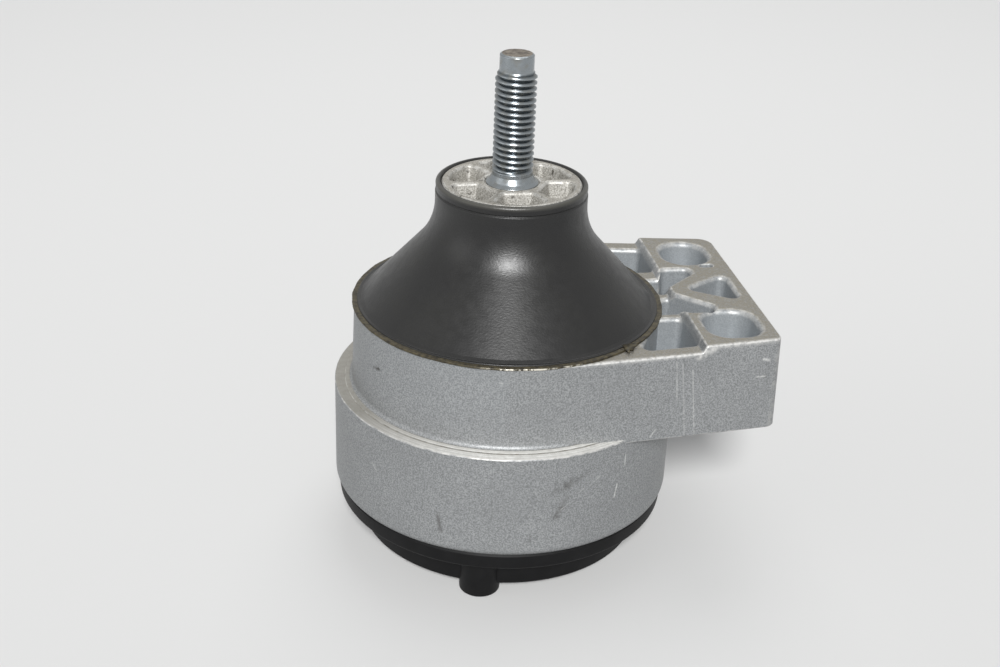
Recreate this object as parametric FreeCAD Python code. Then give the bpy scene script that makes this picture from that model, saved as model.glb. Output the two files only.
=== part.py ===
import FreeCAD, Part

# Engine mount with fluid damping: a die-cast housing with a ribbed bracket arm, a rubber cone with a
# cast core and a threaded stud, and a stack of damper parts closed in the can by a snap-in cover.
# Millimetres, +Z is the axis of the stud, +X runs along the arm. Heights are written from the floor
# of the cover cup, and the finished parts are shifted so that the origin is on the axis at the lower
# end of the thread.
import math
import os

V = FreeCAD.Vector
UP = V(0, 0, 1)
TURN = 360.0

# Bottom cover: cup, flange under the can, spigot with a snap bead, locating lug.
CUP_INSET = 8.4
CUP_HEIGHT = 10.2
CUP_WALL = 2.2
CUP_EDGE = 1.0
FLANGE_THICK = 5.0
FLANGE_INSET = 1.2
SPIGOT_HEIGHT = 8.4
SPIGOT_WALL = 3.4
SNAP_BEAD = 0.7
SNAP_HALF = 1.2
SNAP_RISE = 4.0
SNAP_CLEARANCE = 0.1
LUG_R = 6.05
LUG_INSET = 2.7
LUG_ANGLE = -107.0
LUG_STAND_OFF = 3.0
LUG_EDGE = 0.5
VENT_R = 1.5
VENT_DISTANCE = 22.0
VENT_ANGLE = 90.0

# Housing: can, ledge and body.
CAN_R = 52.3
CAN_WALL = 3.6
CAN_HEIGHT = 32.9
CAN_EDGE = 2.4
ROOF_THICK = 3.5
LEDGE_WIDTH = 5.3
LEDGE_FILLET = 1.8
LEDGE_EDGE = 0.4
BODY_HEIGHT = 25.3
BODY_WALL = 3.0
CAST_DRAFT = 1.7
BODY_EDGE = 0.4

# Arm: a block drawn out from the body along its tangents, with a raised pad at the end.
ARM_LENGTH = 28.2
ARM_SHARE = 0.8145
ARM_DROP = 1.3
ARM_TANGENT_INSET = 0.1
FRONT_CORNER = 2.4
REAR_CORNER = 5.0
ARM_EDGE = 0.7
PAD_RISE = 2.1
PAD_GAP = 3.6
PAD_RAMP = 1.2
ARM_FLOOR = 6.0

# Pockets in the top of the arm.
POCKET_DRAFT = 3.5
POCKET_CORNER = 1.9
LEAST_CORNER = 0.3
POCKET_UNDERCUT = 4.8
SIDE_POCKET_SLANT = 8.5
SIDE_WALL = 5.6
FORK_Y = -1.6
FORK_WALL = 3.4
FORK_LENGTH = 7.8
END_WALL = 4.0
WEDGE_LENGTH = 14.5
WEDGE_SHARE = 0.242
WING_LENGTH = 10.7
WING_TIP = 3.6
WING_RIB = 3.4
WING_STEP_SHARE = 0.75
DIMPLE_INSET = 7.4
DIMPLE_LENGTH = 4.2
DIMPLE_WIDTH = 2.4
DIMPLE_DEPTH = 3.0

# Wells over the two tapped fixing holes in the underside of the arm.
FIXING_INSET = 12.0
WELL_WALL = 3.0
WELL_DEPTH = 14.0
WELL_DRAFT = 5.0
ROUND_WELL_X = 14.4
ROUND_WELL_SHARE = 0.446
ROUND_WELL_CORNER = 6.6
SQUARE_WELL_X = 15.5
SQUARE_WELL_SHARE = 0.455
SQUARE_WELL_CORNER = 6.0
FIXING_HOLE_R = 4.25
FIXING_MOUTH = 1.0

# Cast core with a ring of pockets round its boss.
CORE_R = 20.7
CORE_RISE = 38.1
CORE_STRAIGHT = 16.0
CORE_HEIGHT = 42.0
CORE_TAPER = 8.2
CORE_EDGE = 0.5
CORE_POCKETS = 6
CORE_BOSS_WALL = 2.2
CORE_RIM = 2.0
CORE_RIB = 2.6
CORE_POCKET_DEPTH = 7.0
CORE_POCKET_DRAFT = 12.0
CORE_POCKET_CORNER = 1.0

# Stud, M12 by 1.75, with a dog point and a flared root.
THREAD_R = 6.0
THREAD_START = 3.3
THREAD_LENGTH = 29.6
DOG_R = 4.95
DOG_LENGTH = 5.2
DOG_EDGE = 0.5
DOG_RAMP = 0.8
ROOT_R = 7.4
ROOT_HEIGHT = 2.2
ROOT_SINK = 1.6
SHANK_R = 7.0
SHANK_DEPTH = 30.0
SHANK_EDGE = 0.8

# Rubber cone and the bonding sleeve pressed into the body.
NECK_WALL = 1.7
NECK_LENGTH = 13.6
NECK_FILLET = 20.0
LIP_ROUND = 0.8
CONE_SPREAD = 1.9
SKIRT_WIDTH = 1.6
SKIRT_THICK = 0.4
CORE_SKIN = 1.7
ROOF_INSET = 1.5
LINER_WALL = 2.6
LINER_TOP = 10.5
LINER_FILLET = 4.0
SEAL_HEIGHT = 2.4
SLEEVE_WALL = 1.6
SLEEVE_OVERHANG = 1.0
SLEEVE_FLANGE_THICK = 0.8

# Fluid damper: two plates with a ring channel, a loose decoupler, a diaphragm and its clamp ring.
STACK_CLEARANCE = 0.2
UPPER_PLATE_THICK = 4.0
LOWER_PLATE_THICK = 12.0
CHANNEL_OUTER_WALL = 3.8
CHANNEL_WIDTH = 8.5
CHANNEL_DEPTH = 8.0
CHANNEL_STOP = 24.0
PORT_ANGLE = 22.0
PORT_MARGIN = 1.0
DECOUPLER_WALL = 11.2
DECOUPLER_THICK = 2.6
DECOUPLER_PLAY = 0.6
GRID_HOLE_R = 2.4
GRID_SPREAD = 0.31
GRID_RINGS = 2
BEAD_HEIGHT = 3.4
BEAD_WIDTH = 3.6
CLAMP_THICK = 1.6
DIAPHRAGM_WALL = 2.4
FOLD_CLEARANCE = 3.8
FOLD_WIDTH = 7.0
FOLD_DROP = 15.0
CROWN_FALL = 14.0
CROWN_DROP = 6.0
FOLD_ROUND = 4.0

# Levels and radii that follow.
Z_FLANGE = CUP_HEIGHT
Z_CAN = Z_FLANGE + FLANGE_THICK
Z_LEDGE = Z_CAN + CAN_HEIGHT
Z_TOP = Z_LEDGE + BODY_HEIGHT
Z_PAD = Z_TOP + PAD_RISE
Z_ARM = Z_LEDGE - ARM_DROP
Z_CORE = Z_TOP + CORE_RISE
Z_CORE_FOOT = Z_CORE - CORE_HEIGHT
Z_THREAD = Z_CORE + THREAD_START
Z_DOG = Z_THREAD + THREAD_LENGTH
Z_TIP = Z_DOG + DOG_LENGTH
Z_ROOF = Z_LEDGE - ROOF_THICK
Z_PLATES = Z_ROOF - UPPER_PLATE_THICK
Z_LOWER = Z_PLATES - LOWER_PLATE_THICK
Z_BEAD = Z_LOWER - BEAD_HEIGHT
Z_SPIGOT = Z_CAN + SPIGOT_HEIGHT
Z_SEAL = Z_ROOF + SEAL_HEIGHT
Z_SNAP = Z_CAN + SNAP_RISE
BODY_FOOT_R = CAN_R - LEDGE_WIDTH
BODY_R = BODY_FOOT_R - BODY_HEIGHT * math.tan(math.radians(CAST_DRAFT))
PAD_BODY_R = BODY_R - PAD_RISE * math.tan(math.radians(CAST_DRAFT))
BORE_R = BODY_R - BODY_WALL
CAN_BORE_R = CAN_R - CAN_WALL
STACK_R = CAN_BORE_R - STACK_CLEARANCE
FLANGE_R = CAN_R - FLANGE_INSET
SLEEVE_R = BORE_R - SLEEVE_WALL
LINER_R = SLEEVE_R - LINER_WALL
CHANNEL_OUT_R = STACK_R - CHANNEL_OUTER_WALL
CHANNEL_IN_R = CHANNEL_OUT_R - CHANNEL_WIDTH
DECOUPLER_R = CHANNEL_IN_R - DECOUPLER_WALL
CUP_R = CAN_R - CUP_INSET
SHOULDER_R = STACK_R - BEAD_WIDTH - FOLD_CLEARANCE
FOLD_R = SHOULDER_R - FOLD_WIDTH
CROWN_R = FOLD_R - CROWN_FALL
CORE_FOOT_R = CORE_R - CORE_TAPER
CORE_BOSS_R = ROOT_R + CORE_BOSS_WALL
NECK_R = CORE_R + NECK_WALL
CONE_FOOT_R = SLEEVE_R + CONE_SPREAD
SKIRT_R = CONE_FOOT_R + SKIRT_WIDTH
SLEEVE_FLANGE_R = BODY_R + SLEEVE_OVERHANG
ROOF_R = CORE_FOOT_R - ROOF_INSET
ARM_REACH = BODY_R + ARM_LENGTH
ARM_HALF = BODY_R * ARM_SHARE
SQUARE_WELL_Y = ARM_HALF * SQUARE_WELL_SHARE
ROUND_WELL_Y = ARM_HALF * ROUND_WELL_SHARE
PAD_X = BODY_R + PAD_GAP
POCKET_X = BODY_R - POCKET_UNDERCUT
FIXING_X = ARM_REACH - FIXING_INSET
FIXING_Y = ARM_HALF - WELL_WALL - SQUARE_WELL_Y / 2
WELL_IN_Y = FIXING_Y - SQUARE_WELL_Y / 2
WING_OUT_Y = WELL_IN_Y - WING_RIB


# Drawing helpers. A corner is (x, y) or (x, y, rounding radius), and a loop runs anticlockwise.

def inset(corners, distance):
    """The same loop with every side moved inwards and its rounding radii to match."""
    moved = []
    for i, corner in enumerate(corners):
        here = V(corner[0], corner[1], 0)
        before = here - V(corners[i - 1][0], corners[i - 1][1], 0)
        after = V(corners[(i + 1) % len(corners)][0], corners[(i + 1) % len(corners)][1], 0) - here
        before.normalize()
        after.normalize()
        normals = UP.cross(before) + UP.cross(after)
        shift = normals * (2 * distance / normals.dot(normals))
        less = distance if before.cross(after).z > 0 else -distance
        radius = max(corner[2] - less, LEAST_CORNER) if len(corner) > 2 else 0
        moved.append((here.x + shift.x, here.y + shift.y, radius))
    return moved


def rounded(corners):
    """A closed wire in the XY plane through the corners, each one rounded by its own radius."""
    edges = []
    first = None
    last = None
    for i, corner in enumerate(corners):
        here = V(corner[0], corner[1], 0)
        back = V(corners[i - 1][0], corners[i - 1][1], 0) - here
        on = V(corners[(i + 1) % len(corners)][0], corners[(i + 1) % len(corners)][1], 0) - here
        back.normalize()
        on.normalize()
        start = here
        end = here
        if len(corner) > 2 and corner[2] > 0:
            half = back.getAngle(on) / 2
            reach = corner[2] / math.tan(half)
            start = here + back * reach
            end = here + on * reach
            towards = back + on
            towards.normalize()
            middle = here + towards * (corner[2] / math.sin(half) - corner[2])
        if last is not None:
            edges.append(Part.makeLine(last, start))
        if start is not end:
            edges.append(Part.Arc(start, middle, end).toShape())
        first = start if first is None else first
        last = end
    edges.append(Part.makeLine(last, first))
    return Part.Wire(edges)


def turned(corners, angle=TURN):
    """Solid turned about Z from a profile given as (radius, height) corners."""
    wire = rounded(corners)
    wire.rotate(V(0, 0, 0), V(1, 0, 0), 90)
    return Part.Face(wire).revolve(V(0, 0, 0), UP, angle)


def block(corners, bottom, top, draft):
    """Prism between two heights, drawn at its top and widening downwards by the draft."""
    spread = (top - bottom) * math.tan(math.radians(draft))
    upper = rounded(corners)
    lower = rounded(inset(corners, -spread))
    upper.translate(V(0, 0, top))
    lower.translate(V(0, 0, bottom))
    return Part.makeLoft([lower, upper], True, True)


def pocket(corners, floor, top, draft):
    """Cutter for a pocket drawn at its mouth and narrowing down to its floor."""
    above = 1.0
    slope = math.tan(math.radians(draft))
    mouth = rounded(inset(corners, -above * slope))
    bottom = rounded(inset(corners, (top - floor) * slope))
    mouth.translate(V(0, 0, top + above))
    bottom.translate(V(0, 0, floor))
    return Part.makeLoft([bottom, mouth], True, True)


def rectangle(x, y, length, width, corner):
    """Corners of a rounded rectangle about a centre."""
    across = length / 2
    up = width / 2
    return [(x - across, y - up, corner), (x + across, y - up, corner),
            (x + across, y + up, corner), (x - across, y + up, corner)]


def mirrored(corners, axis_y):
    """The same loop on the other side of a line along X."""
    return [(c[0], 2 * axis_y - c[1]) + tuple(c[2:]) for c in reversed(corners)]


def sector(inner, outer, bottom, top, start, angle):
    """Part of a ring between two radii, two heights and two angles."""
    ring = turned([(inner, bottom), (outer, bottom), (outer, top), (inner, top)], angle)
    ring.rotate(V(0, 0, 0), UP, start)
    return ring


def cylinder(radius, bottom, top, x=0.0, y=0.0):
    return Part.makeCylinder(radius, top - bottom, V(x, y, bottom))


def polar(distance, angle):
    return distance * math.cos(math.radians(angle)), distance * math.sin(math.radians(angle))


# Housing.

def side_angle():
    """Angle between the arm's side and X, at which the side lies nearly on a tangent of the body."""
    tangent = math.asin((PAD_BODY_R - ARM_TANGENT_INSET) / math.hypot(ARM_REACH, ARM_HALF))
    return tangent - math.atan2(ARM_HALF, ARM_REACH)


def half_width(x):
    return ARM_HALF + (ARM_REACH - x) * math.tan(side_angle())


def arm_block():
    """The arm before its pockets: drafted sides, rounded corners and the raised pad at its end."""
    root = (PAD_BODY_R - ARM_TANGENT_INSET) * math.sin(side_angle())
    plan = [(root, -half_width(root)), (ARM_REACH, -ARM_HALF, FRONT_CORNER),
            (ARM_REACH, ARM_HALF, REAR_CORNER), (root, half_width(root))]
    solid = block(plan, Z_ARM, Z_PAD, CAST_DRAFT)
    far = 2 * ARM_REACH
    step = rounded([(-far, Z_TOP), (PAD_X, Z_TOP, ARM_EDGE), (PAD_X + PAD_RAMP, Z_PAD, ARM_EDGE),
                    (far, Z_PAD), (far, Z_PAD + far), (-far, Z_PAD + far)])
    step.rotate(V(0, 0, 0), V(1, 0, 0), 90)
    step.translate(V(0, far, 0))
    solid = solid.cut(Part.Face(step).extrude(V(0, -2 * far, 0)))
    rims = []
    for edge in solid.Edges:
        box = edge.BoundBox
        along_side = box.YMin * box.YMax > 0
        across_end = box.XMin > ARM_REACH - ARM_EDGE
        if box.ZMin > Z_TOP - ARM_EDGE and (along_side or across_end):
            rims.append(edge)
    return solid.makeFillet(ARM_EDGE, rims)


def side_pocket(side):
    """Pocket between the body and the pad, near the side wall of the arm."""
    far_x = PAD_X + PAD_RAMP / 4
    near_x = POCKET_X - SIDE_POCKET_SLANT
    near = side * WELL_IN_Y
    loop = [(POCKET_X, near, POCKET_CORNER), (far_x, near, POCKET_CORNER),
            (far_x, side * (half_width(far_x) - SIDE_WALL), POCKET_CORNER),
            (near_x, side * (half_width(near_x) - SIDE_WALL), POCKET_CORNER)]
    return loop if side > 0 else list(reversed(loop))


def wing_pocket():
    """Pocket beside the fork rib, reaching from the body into the pad."""
    foot = FORK_Y + FORK_WALL / 2
    far_x = PAD_X + WING_LENGTH
    low_y = WING_OUT_Y * WING_STEP_SHARE
    return [(POCKET_X, foot + FORK_WALL), (POCKET_X + FORK_LENGTH, foot, POCKET_CORNER),
            (far_x, WING_OUT_Y - WING_TIP, POCKET_CORNER), (far_x, WING_OUT_Y, POCKET_CORNER),
            (PAD_X + PAD_RAMP + POCKET_CORNER / 2, WING_OUT_Y, POCKET_CORNER),
            (PAD_X + PAD_RAMP / 2, low_y, POCKET_CORNER / 2), (POCKET_X, low_y)]


def wedge_pocket():
    """Triangular pocket in the pad, pointing at the body."""
    far_x = ARM_REACH - END_WALL
    middle = FORK_Y / 2
    half = ARM_HALF * WEDGE_SHARE
    return [(far_x - WEDGE_LENGTH, middle, POCKET_CORNER), (far_x, middle - half, POCKET_CORNER),
            (far_x, middle + half, POCKET_CORNER)]


def cast_housing():
    """Can, ledge, body and arm in one casting, bored from both ends."""
    groove = SNAP_HALF + SNAP_CLEARANCE
    depth = SNAP_BEAD + SNAP_CLEARANCE
    shell = turned([(0, Z_CAN), (CAN_R, Z_CAN, CAN_EDGE), (CAN_R, Z_LEDGE, LEDGE_EDGE),
                    (BODY_FOOT_R, Z_LEDGE, LEDGE_FILLET), (BODY_R, Z_TOP, BODY_EDGE), (0, Z_TOP)])
    floor = Z_ARM + ARM_FLOOR
    cast = shell.fuse(arm_block())
    for loop in (side_pocket(1), side_pocket(-1), wing_pocket(), mirrored(wing_pocket(), FORK_Y)):
        cast = cast.cut(pocket(loop, floor, Z_PAD, POCKET_DRAFT))
    cast = cast.cut(pocket(wedge_pocket(), floor, Z_PAD, POCKET_DRAFT))
    dimple = rectangle(ARM_REACH - DIMPLE_INSET, WING_OUT_Y + WING_RIB / 2, DIMPLE_LENGTH, DIMPLE_WIDTH,
                       DIMPLE_WIDTH * 0.45)
    cast = cast.cut(pocket(dimple, Z_PAD - DIMPLE_DEPTH, Z_PAD, WELL_DRAFT))
    rear = rectangle(FIXING_X, FIXING_Y, ROUND_WELL_X, ROUND_WELL_Y, ROUND_WELL_CORNER)
    front = rectangle(FIXING_X, -FIXING_Y, SQUARE_WELL_X, SQUARE_WELL_Y, SQUARE_WELL_CORNER)
    for well, side in ((rear, 1), (front, -1)):
        cast = cast.cut(pocket(well, Z_PAD - WELL_DEPTH, Z_PAD, WELL_DRAFT))
        mouth = Part.makeCone(FIXING_HOLE_R + FIXING_MOUTH, FIXING_HOLE_R, FIXING_MOUTH,
                              V(FIXING_X, side * FIXING_Y, Z_ARM))
        hole = cylinder(FIXING_HOLE_R, Z_ARM - 1, Z_PAD, FIXING_X, side * FIXING_Y)
        cast = cast.cut(hole.fuse(mouth))
    wall = turned([(0, Z_LEDGE), (BODY_FOOT_R, Z_LEDGE), (BODY_R, Z_TOP), (0, Z_TOP)])
    cast = cast.fuse(wall)
    bore = turned([(0, Z_CAN - 1), (CAN_BORE_R, Z_CAN - 1), (CAN_BORE_R, Z_SNAP - groove),
                   (CAN_BORE_R + depth, Z_SNAP), (CAN_BORE_R, Z_SNAP + groove),
                   (CAN_BORE_R, Z_ROOF), (BORE_R, Z_ROOF), (BORE_R, Z_PAD), (0, Z_PAD)])
    return cast.cut(bore).removeSplitter()


# Core, stud, rubber and sleeve.

def core_profile():
    """Outline of the core, from its foot to its rim, shared with the rubber bonded to it."""
    return [(CORE_FOOT_R, Z_CORE_FOOT, LINER_FILLET), (CORE_R, Z_CORE - CORE_STRAIGHT, LINER_FILLET)]


def mounting_stud():
    return turned([(0, Z_CORE - SHANK_DEPTH), (SHANK_R - SHANK_EDGE, Z_CORE - SHANK_DEPTH),
                   (SHANK_R, Z_CORE - SHANK_DEPTH + SHANK_EDGE), (SHANK_R, Z_CORE - ROOT_SINK),
                   (ROOT_R, Z_CORE - ROOT_SINK), (ROOT_R, Z_CORE),
                   (THREAD_R, Z_CORE + ROOT_HEIGHT * 0.4, ROOT_HEIGHT * 0.5),
                   (THREAD_R, Z_DOG - DOG_RAMP), (DOG_R, Z_DOG),
                   (DOG_R, Z_TIP - DOG_EDGE), (DOG_R - DOG_EDGE, Z_TIP), (0, Z_TIP)])


def inner_core():
    """Cast core with six drafted pockets between its boss and its rim."""
    body = turned([(0, Z_CORE_FOOT)] + core_profile() + [(CORE_R, Z_CORE, CORE_EDGE), (0, Z_CORE)])
    outer = CORE_R - CORE_RIM
    pitch = TURN / CORE_POCKETS
    inner_half = CORE_BOSS_R * math.tan(math.radians(pitch / 2)) - CORE_RIB / 2
    outer_half = outer * math.sin(math.radians(pitch / 2)) - CORE_RIB / 2
    outer_x = math.sqrt(outer ** 2 - outer_half ** 2)
    loop = [(CORE_BOSS_R, -inner_half, CORE_POCKET_CORNER), (outer_x, -outer_half, CORE_POCKET_CORNER * 2),
            (outer, 0, 4 * CORE_POCKET_CORNER), (outer_x, outer_half, CORE_POCKET_CORNER * 2),
            (CORE_BOSS_R, inner_half, CORE_POCKET_CORNER)]
    for i in range(CORE_POCKETS):
        cutter = pocket(loop, Z_CORE - CORE_POCKET_DEPTH, Z_CORE, CORE_POCKET_DRAFT)
        cutter.rotate(V(0, 0, 0), UP, pitch * (i + 0.5))
        body = body.cut(cutter)
    seat = cylinder(ROOT_R, Z_CORE - ROOT_SINK, Z_CORE + 1)
    return body.cut(seat).cut(mounting_stud())


def rubber_spring():
    """Rubber cone bonded to the core and the sleeve, hollow below, with a liner and a seal foot."""
    flange_top = Z_TOP + SLEEVE_FLANGE_THICK
    return turned([(0, Z_CORE_FOOT - CORE_SKIN), (ROOF_R, Z_CORE_FOOT - CORE_SKIN, LINER_FILLET),
                   (LINER_R, Z_ROOF + LINER_TOP, LINER_FILLET), (LINER_R, Z_ROOF), (BORE_R, Z_ROOF),
                   (BORE_R, Z_SEAL), (SLEEVE_R, Z_SEAL), (SLEEVE_R, flange_top), (SKIRT_R, flange_top),
                   (SKIRT_R, flange_top + SKIRT_THICK), (CONE_FOOT_R, flange_top + SKIRT_THICK),
                   (NECK_R, Z_CORE - NECK_LENGTH, NECK_FILLET), (NECK_R, Z_CORE, LIP_ROUND),
                   (CORE_R, Z_CORE)] + list(reversed(core_profile())) + [(0, Z_CORE_FOOT)])


def bonding_sleeve():
    """Pressed steel sleeve with a flange that lies on the rim of the body."""
    return turned([(SLEEVE_R, Z_SEAL), (BORE_R, Z_SEAL), (BORE_R, Z_TOP), (SLEEVE_FLANGE_R, Z_TOP),
                   (SLEEVE_FLANGE_R, Z_TOP + SLEEVE_FLANGE_THICK),
                   (SLEEVE_R, Z_TOP + SLEEVE_FLANGE_THICK)])


# Fluid damper.

def grid(bottom, top):
    """Rings of holes that let the fluid reach the decoupler."""
    holes = [cylinder(GRID_HOLE_R, bottom, top)]
    for ring in range(1, GRID_RINGS + 1):
        for i in range(6 * ring):
            x, y = polar(GRID_SPREAD * DECOUPLER_R * ring, TURN / (6 * ring) * i)
            holes.append(cylinder(GRID_HOLE_R, bottom, top, x, y))
    return Part.makeCompound(holes)


def port(bottom, top, start):
    return sector(CHANNEL_IN_R + PORT_MARGIN, CHANNEL_OUT_R - PORT_MARGIN, bottom, top, start, PORT_ANGLE)


def upper_track_plate():
    """Lid of the channel with the upper port and the upper grid."""
    lid = cylinder(STACK_R, Z_PLATES, Z_ROOF)
    return lid.cut(port(Z_PLATES - 1, Z_ROOF + 1, CHANNEL_STOP / 2)).cut(grid(Z_PLATES - 1, Z_ROOF + 1))


def lower_track_plate():
    """Plate with the ring channel, the lower port, the decoupler recess and the lower grid."""
    plate = cylinder(STACK_R, Z_LOWER, Z_PLATES)
    channel = sector(CHANNEL_IN_R, CHANNEL_OUT_R, Z_PLATES - CHANNEL_DEPTH, Z_PLATES + 1,
                     CHANNEL_STOP / 2, TURN - CHANNEL_STOP)
    recess = cylinder(DECOUPLER_R + DECOUPLER_PLAY, Z_PLATES - DECOUPLER_THICK - DECOUPLER_PLAY, Z_PLATES + 1)
    outlet = port(Z_LOWER - 1, Z_PLATES, -CHANNEL_STOP / 2 - PORT_ANGLE)
    return plate.cut(channel).cut(recess).cut(outlet).cut(grid(Z_LOWER - 1, Z_PLATES))


def decoupler_disc():
    """Loose rubber disc lying in its recess."""
    bottom = Z_PLATES - DECOUPLER_THICK - DECOUPLER_PLAY
    return turned([(0, bottom), (DECOUPLER_R, bottom, 0.5), (DECOUPLER_R, bottom + DECOUPLER_THICK, 0.5),
                   (0, bottom + DECOUPLER_THICK)])


def diaphragm():
    """Folded rubber diaphragm with a square bead at its edge."""
    bead_in = STACK_R - BEAD_WIDTH
    web = Z_BEAD + (BEAD_HEIGHT - DIAPHRAGM_WALL) / 2
    under = [(0, web - CROWN_DROP), (CROWN_R, web - CROWN_DROP, FOLD_ROUND),
             (FOLD_R, web - FOLD_DROP, FOLD_ROUND), (SHOULDER_R, web, 1.0)]
    over = [(c[0], c[1] + DIAPHRAGM_WALL) + tuple(c[2:]) for c in reversed(under)]
    return turned(under + [(bead_in, web), (bead_in, Z_BEAD), (STACK_R, Z_BEAD), (STACK_R, Z_LOWER),
                           (bead_in, Z_LOWER), (bead_in, web + DIAPHRAGM_WALL)] + over)


def clamp_ring():
    """Flat ring between the spigot of the cover and the bead of the diaphragm."""
    return turned([(STACK_R - SPIGOT_WALL, Z_SPIGOT), (STACK_R, Z_SPIGOT), (STACK_R, Z_BEAD),
                   (STACK_R - SPIGOT_WALL, Z_BEAD)])


def bottom_cover():
    """Moulded cover: cup, flange, spigot with its snap bead, lug and vent."""
    spigot_in = STACK_R - SPIGOT_WALL
    cup_in = CUP_R - CUP_WALL
    shell = turned([(0, 0), (CUP_R, 0, CUP_EDGE), (CUP_R, Z_FLANGE), (FLANGE_R, Z_FLANGE, CUP_EDGE),
                    (FLANGE_R, Z_CAN), (STACK_R, Z_CAN), (STACK_R, Z_SNAP - SNAP_HALF),
                    (CAN_BORE_R + SNAP_BEAD, Z_SNAP), (STACK_R, Z_SNAP + SNAP_HALF), (STACK_R, Z_SPIGOT),
                    (spigot_in, Z_SPIGOT), (spigot_in, Z_CAN), (cup_in, Z_FLANGE + CUP_WALL),
                    (cup_in, CUP_WALL, CUP_EDGE), (0, CUP_WALL)])
    x, y = polar(CUP_R - LUG_INSET, LUG_ANGLE)
    lug = turned([(0, -LUG_STAND_OFF), (LUG_R, -LUG_STAND_OFF, LUG_EDGE), (LUG_R, Z_FLANGE + CUP_WALL),
                  (0, Z_FLANGE + CUP_WALL)])
    lug.translate(V(x, y, 0))
    x, y = polar(VENT_DISTANCE, VENT_ANGLE)
    return shell.fuse(lug).cut(cylinder(VENT_R, -1, CUP_WALL + 1, x, y)).removeSplitter()


parts = {
    "mounting_stud": mounting_stud(),
    "inner_core": inner_core(),
    "rubber_spring": rubber_spring(),
    "bonding_sleeve": bonding_sleeve(),
    "cast_housing": cast_housing(),
    "upper_track_plate": upper_track_plate(),
    "lower_track_plate": lower_track_plate(),
    "decoupler_disc": decoupler_disc(),
    "diaphragm": diaphragm(),
    "clamp_ring": clamp_ring(),
    "bottom_cover": bottom_cover(),
}

os.makedirs("parts", exist_ok=True)
for name, shape in parts.items():
    shape.translate(V(0, 0, -Z_THREAD))
    shape.exportStep("parts/" + name + ".step")
    print(name, shape.isValid(), round(shape.Volume), len(shape.Solids))
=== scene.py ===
# %% [markdown]
# # An engine mount with fluid damping
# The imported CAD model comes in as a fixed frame, one object for each real piece. We rebuild the pieces
# that show with rounded edges and fine detail, and give every piece a material.
# Lengths are in metres. The origin is on the axis of the stud, where its thread begins.

import math

import bmesh
import bpy
from mathutils import Matrix, Vector, noise


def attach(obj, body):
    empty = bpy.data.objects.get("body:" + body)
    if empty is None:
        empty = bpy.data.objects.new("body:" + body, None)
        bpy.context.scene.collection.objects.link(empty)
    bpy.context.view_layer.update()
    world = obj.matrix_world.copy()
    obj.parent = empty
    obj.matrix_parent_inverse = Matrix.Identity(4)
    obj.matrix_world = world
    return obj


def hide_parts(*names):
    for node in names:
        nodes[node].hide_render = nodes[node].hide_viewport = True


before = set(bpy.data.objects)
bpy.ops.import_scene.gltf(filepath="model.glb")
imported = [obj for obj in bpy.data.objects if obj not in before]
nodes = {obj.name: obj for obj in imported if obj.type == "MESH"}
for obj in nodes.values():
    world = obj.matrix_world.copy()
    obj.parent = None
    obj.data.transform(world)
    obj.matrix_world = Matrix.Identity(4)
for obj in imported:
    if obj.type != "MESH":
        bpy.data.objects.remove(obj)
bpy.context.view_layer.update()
print("CAD nodes:", ", ".join(sorted(nodes)))

# %% [markdown]
# ## Measures
# The CAD part is drawn upwards from the floor of its bottom cover. We name the same heights and radii
# once, in millimetres, so that each new piece lands on the CAD piece that it replaces.

# %% Heights and radii
MM = 0.001
Z0 = 114.8  # the frame's origin above the floor of the cover


def slope_of(degrees):
    """Sideways distance for each unit of height."""
    return math.tan(math.radians(degrees))


H = {"flange": 10.2, "can": 15.2, "arm": 46.8, "ledge": 48.1, "top": 73.4, "pad": 75.5, "core": 111.5,
     "thread": 114.8, "dog": 144.4, "tip": 149.6}
CAN_R, CAN_WALL, BODY_WALL, LEDGE_WIDTH = 52.3, 3.6, 3.0, 5.3
DRAFT = slope_of(1.7)
BODY_FOOT_R = CAN_R - LEDGE_WIDTH
BODY_R = BODY_FOOT_R - (H["top"] - H["ledge"]) * DRAFT
BORE_R = BODY_R - BODY_WALL
CAN_BORE_R = CAN_R - CAN_WALL
print("body radius at the top: %.2f mm" % BODY_R)

# %% [markdown]
# ## Drawing tools
# A turned piece needs a profile and a cast block needs a plan. Both are loops of corners that may
# carry a rounding radius as a third number, which `soften` turns into short arcs. Rounding in the plan
# is cheaper and cleaner than bevelling the finished mesh, because we choose how many points each arc gets.

# %% Rounded loops
def soften(corners, steps=6, closed=True, fills=None):
    """Points of a loop of (x, y) or (x, y, radius) corners, rounded. Fills are the parts to cut each side into."""
    arcs = []
    count = len(corners)
    for i, corner in enumerate(corners):
        here = Vector(corner[:2])
        radius = corner[2] if len(corner) > 2 else 0
        if radius <= 0 or (not closed and i in (0, count - 1)):
            arcs.append([here])
            continue
        back = (Vector(corners[i - 1][:2]) - here).normalized()
        ahead = (Vector(corners[(i + 1) % count][:2]) - here).normalized()
        half = back.angle(ahead) / 2
        centre = here + (back + ahead).normalized() * (radius / math.sin(half))
        start = here + back * (radius / math.tan(half)) - centre
        sweep = (math.pi - 2 * half) * (1 if back.x * ahead.y - back.y * ahead.x < 0 else -1)
        arcs.append([centre + Matrix.Rotation(sweep * k / steps, 2) @ start for k in range(steps + 1)])
    points = []
    for i, arc in enumerate(arcs):
        parts = fills[i] if fills else 1
        after = arcs[(i + 1) % count][0]
        points += [tuple(p) for p in arc] + [tuple(arc[-1].lerp(after, k / parts)) for k in range(1, parts)]
    return points


LEAST_RADIUS = 0.3  # mm, what an inside corner keeps when its loop shrinks


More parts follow.
